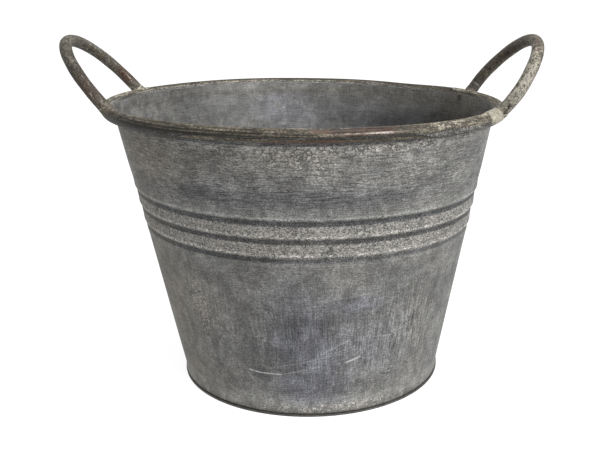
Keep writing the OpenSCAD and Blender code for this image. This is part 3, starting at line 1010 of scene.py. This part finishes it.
def weld(side, end, seed, collar_high, flare, film, pool):
    """One weld: its collar, and solder wiped over the roll. film is how brown the collar is, from its
    foot to its top, and pool is the wipe's (offset, span, angles round the roll, thickness in mm,
    squareness, film)."""
    line = loop_line(side)
    line = line if end == "front" else line[::-1]
    root, up = line[0], line[1] - line[0]
    up /= np.linalg.norm(up)
    lumps = Lumps(seed)
    skirt, share = collar(root, up, collar_high, flare, lumps)
    brown = np.interp(share, np.linspace(0, 1, len(film)), film)
    offset, span, tube, thick, power, pool_film = pool
    centre = math.degrees(math.atan2(root[1], root[0]))
    sheet = wipe(centre + offset, span, tube, thick * MM, power, lumps)

    points = np.concatenate([skirt.reshape(-1, 3), sheet.reshape(-1, 3)])
    film_all = np.concatenate([brown.ravel(), np.full(sheet.shape[0] * sheet.shape[1], pool_film)])
    start, n = skirt.shape[0] * skirt.shape[1], sheet.shape[1]
    faces = grid(*skirt.shape[:2], wrap=True, flip=True)
    faces += grid(*sheet.shape[:2], wrap=True, start=start)
    last = start + (sheet.shape[0] - 1) * n
    faces += [[start + k for k in range(n)][::-1], [last + k for k in range(n)]]
    mask = masks(film_all.shape, tone=0.5, warm=film_all)
    name, node = f"{side}_{end}_weld", f"weld_{side}_{end}"
    build(name, points, faces, points, mask, [SOLDER], None, node)


# The right back collar: brown film below and bright bare solder at its top, whose thin top ring is also a
# painted highlight.
BROWN_TO_BARE_HIGHLIGHT = (0.9, 1.0, 1.0, 0.9, -0.5, -0.5)
weld("left", "front", 21, 9.5, 3.4 * MM, (0.85, 0.80, 0.55), (-1.0, 5.5, (-10, 130), 0.35, 2.0, 0.7))
weld("left", "back", 22, 9.0, 3.0 * MM, (0.5, 0.5, 0.1), (0.0, 5.5, (-10, 130), 0.5, 2.0, 0.4))
weld("right", "back", 23, 11.0, 2.4 * MM, BROWN_TO_BARE_HIGHLIGHT, (3.5, 6.5, (0, 140), 0.45, 2.0, 0.35))
weld("right", "front", 24, 8.0, 2.0 * MM, (0.8, 0.7, 0.3), (-5.3, 6.9, (-50, 150), 0.8, 4.0, 0.26))

# ---------------------------------------------------------------- the CAD piece that keeps its shape

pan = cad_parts["bottom_pan"]
for slot in pan.material_slots:
    slot.material = PAN_ZINC
if not pan.material_slots:
    pan.data.materials.append(PAN_ZINC)

# ---------------------------------------------------------------- floor, light and camera


def area_light(name, place, size, watts, aim=(0.0, 0.0, 0.12)):
    data = bpy.data.lights.new(name, "AREA")
    data.shape = "DISK"
    data.size = size
    data.energy = watts
    lamp = bpy.data.objects.new(name, data)
    lamp.location = place
    lamp.rotation_euler = (Vector(aim) - Vector(place)).to_track_quat("-Z", "Y").to_euler()
    bpy.context.scene.collection.objects.link(lamp)


FLOOR_HALF = 120.0
FLOOR_DROP = 0.2 * MM
square = [(-1, -1), (1, -1), (1, 1), (-1, 1)]
corners = [(x * FLOOR_HALF, y * FLOOR_HALF, -FLOOR_DROP) for x, y in square]
floor_mesh = bpy.data.meshes.new("floor")
floor_mesh.from_pydata(corners, [], [(0, 1, 2, 3)])
floor = bpy.data.objects.new("floor", floor_mesh)
bpy.context.scene.collection.objects.link(floor)
paper = Shader("white_paper")
paper.put(paper.surface.inputs["Base Color"], (0.30, 0.30, 0.30))
paper.put(paper.surface.inputs["Roughness"], 0.9)
paper.put(paper.surface.inputs["Emission Color"], (1.0, 1.0, 1.0))
paper.put(paper.surface.inputs["Emission Strength"], 0.86)
floor_mesh.materials.append(paper.material)
# The bright paper lights nothing: the undersides of the bucket stay as dark as on a matt table.
floor.visible_diffuse = False
floor.visible_glossy = False

area_light("key", (1.55, -1.15, 1.35), 1.1, 42)
area_light("top", (0.15, -0.1, 1.9), 1.3, 8)
area_light("front", (0.60, -1.65, 1.38), 0.4, 7)

world = bpy.data.worlds.new("studio")
bpy.context.scene.world = world
world.use_nodes = True
sky = world.node_tree.nodes["Background"]
sky.inputs["Color"].default_value = (1.0, 1.0, 1.0, 1.0)
sky.inputs["Strength"].default_value = 0.6

# The camera that the photograph's outlines give. Its focal length is a share of the picture's width.
CAMERA_PLACE = Vector((-0.00124, -0.6990, 0.3195))
CAMERA_YAW = -0.505
CAMERA_PITCH = 15.636
CAMERA_ROLL = -1.184
FOCAL_SHARE = 1.3966

yaw, pitch, roll = (math.radians(a) for a in (CAMERA_YAW, CAMERA_PITCH, CAMERA_ROLL))
ahead = Vector((math.sin(yaw) * math.cos(pitch), math.cos(yaw) * math.cos(pitch), -math.sin(pitch)))
level = Vector((math.cos(yaw), -math.sin(yaw), 0.0))
upright = level.cross(ahead)
right = level * math.cos(roll) + upright * math.sin(roll)
above = upright * math.cos(roll) - level * math.sin(roll)
lens = bpy.data.cameras.new("camera")
lens.sensor_width = 36.0
lens.lens = FOCAL_SHARE * lens.sensor_width
lens.clip_end = 500.0
camera = bpy.data.objects.new("camera", lens)
axes = Matrix((right, above, -ahead)).transposed().to_4x4()
camera.matrix_world = Matrix.Translation(CAMERA_PLACE) @ axes
bpy.context.scene.collection.objects.link(camera)
bpy.context.scene.camera = camera
bpy.context.scene.view_settings.view_transform = "Standard"

bpy.context.view_layer.update()
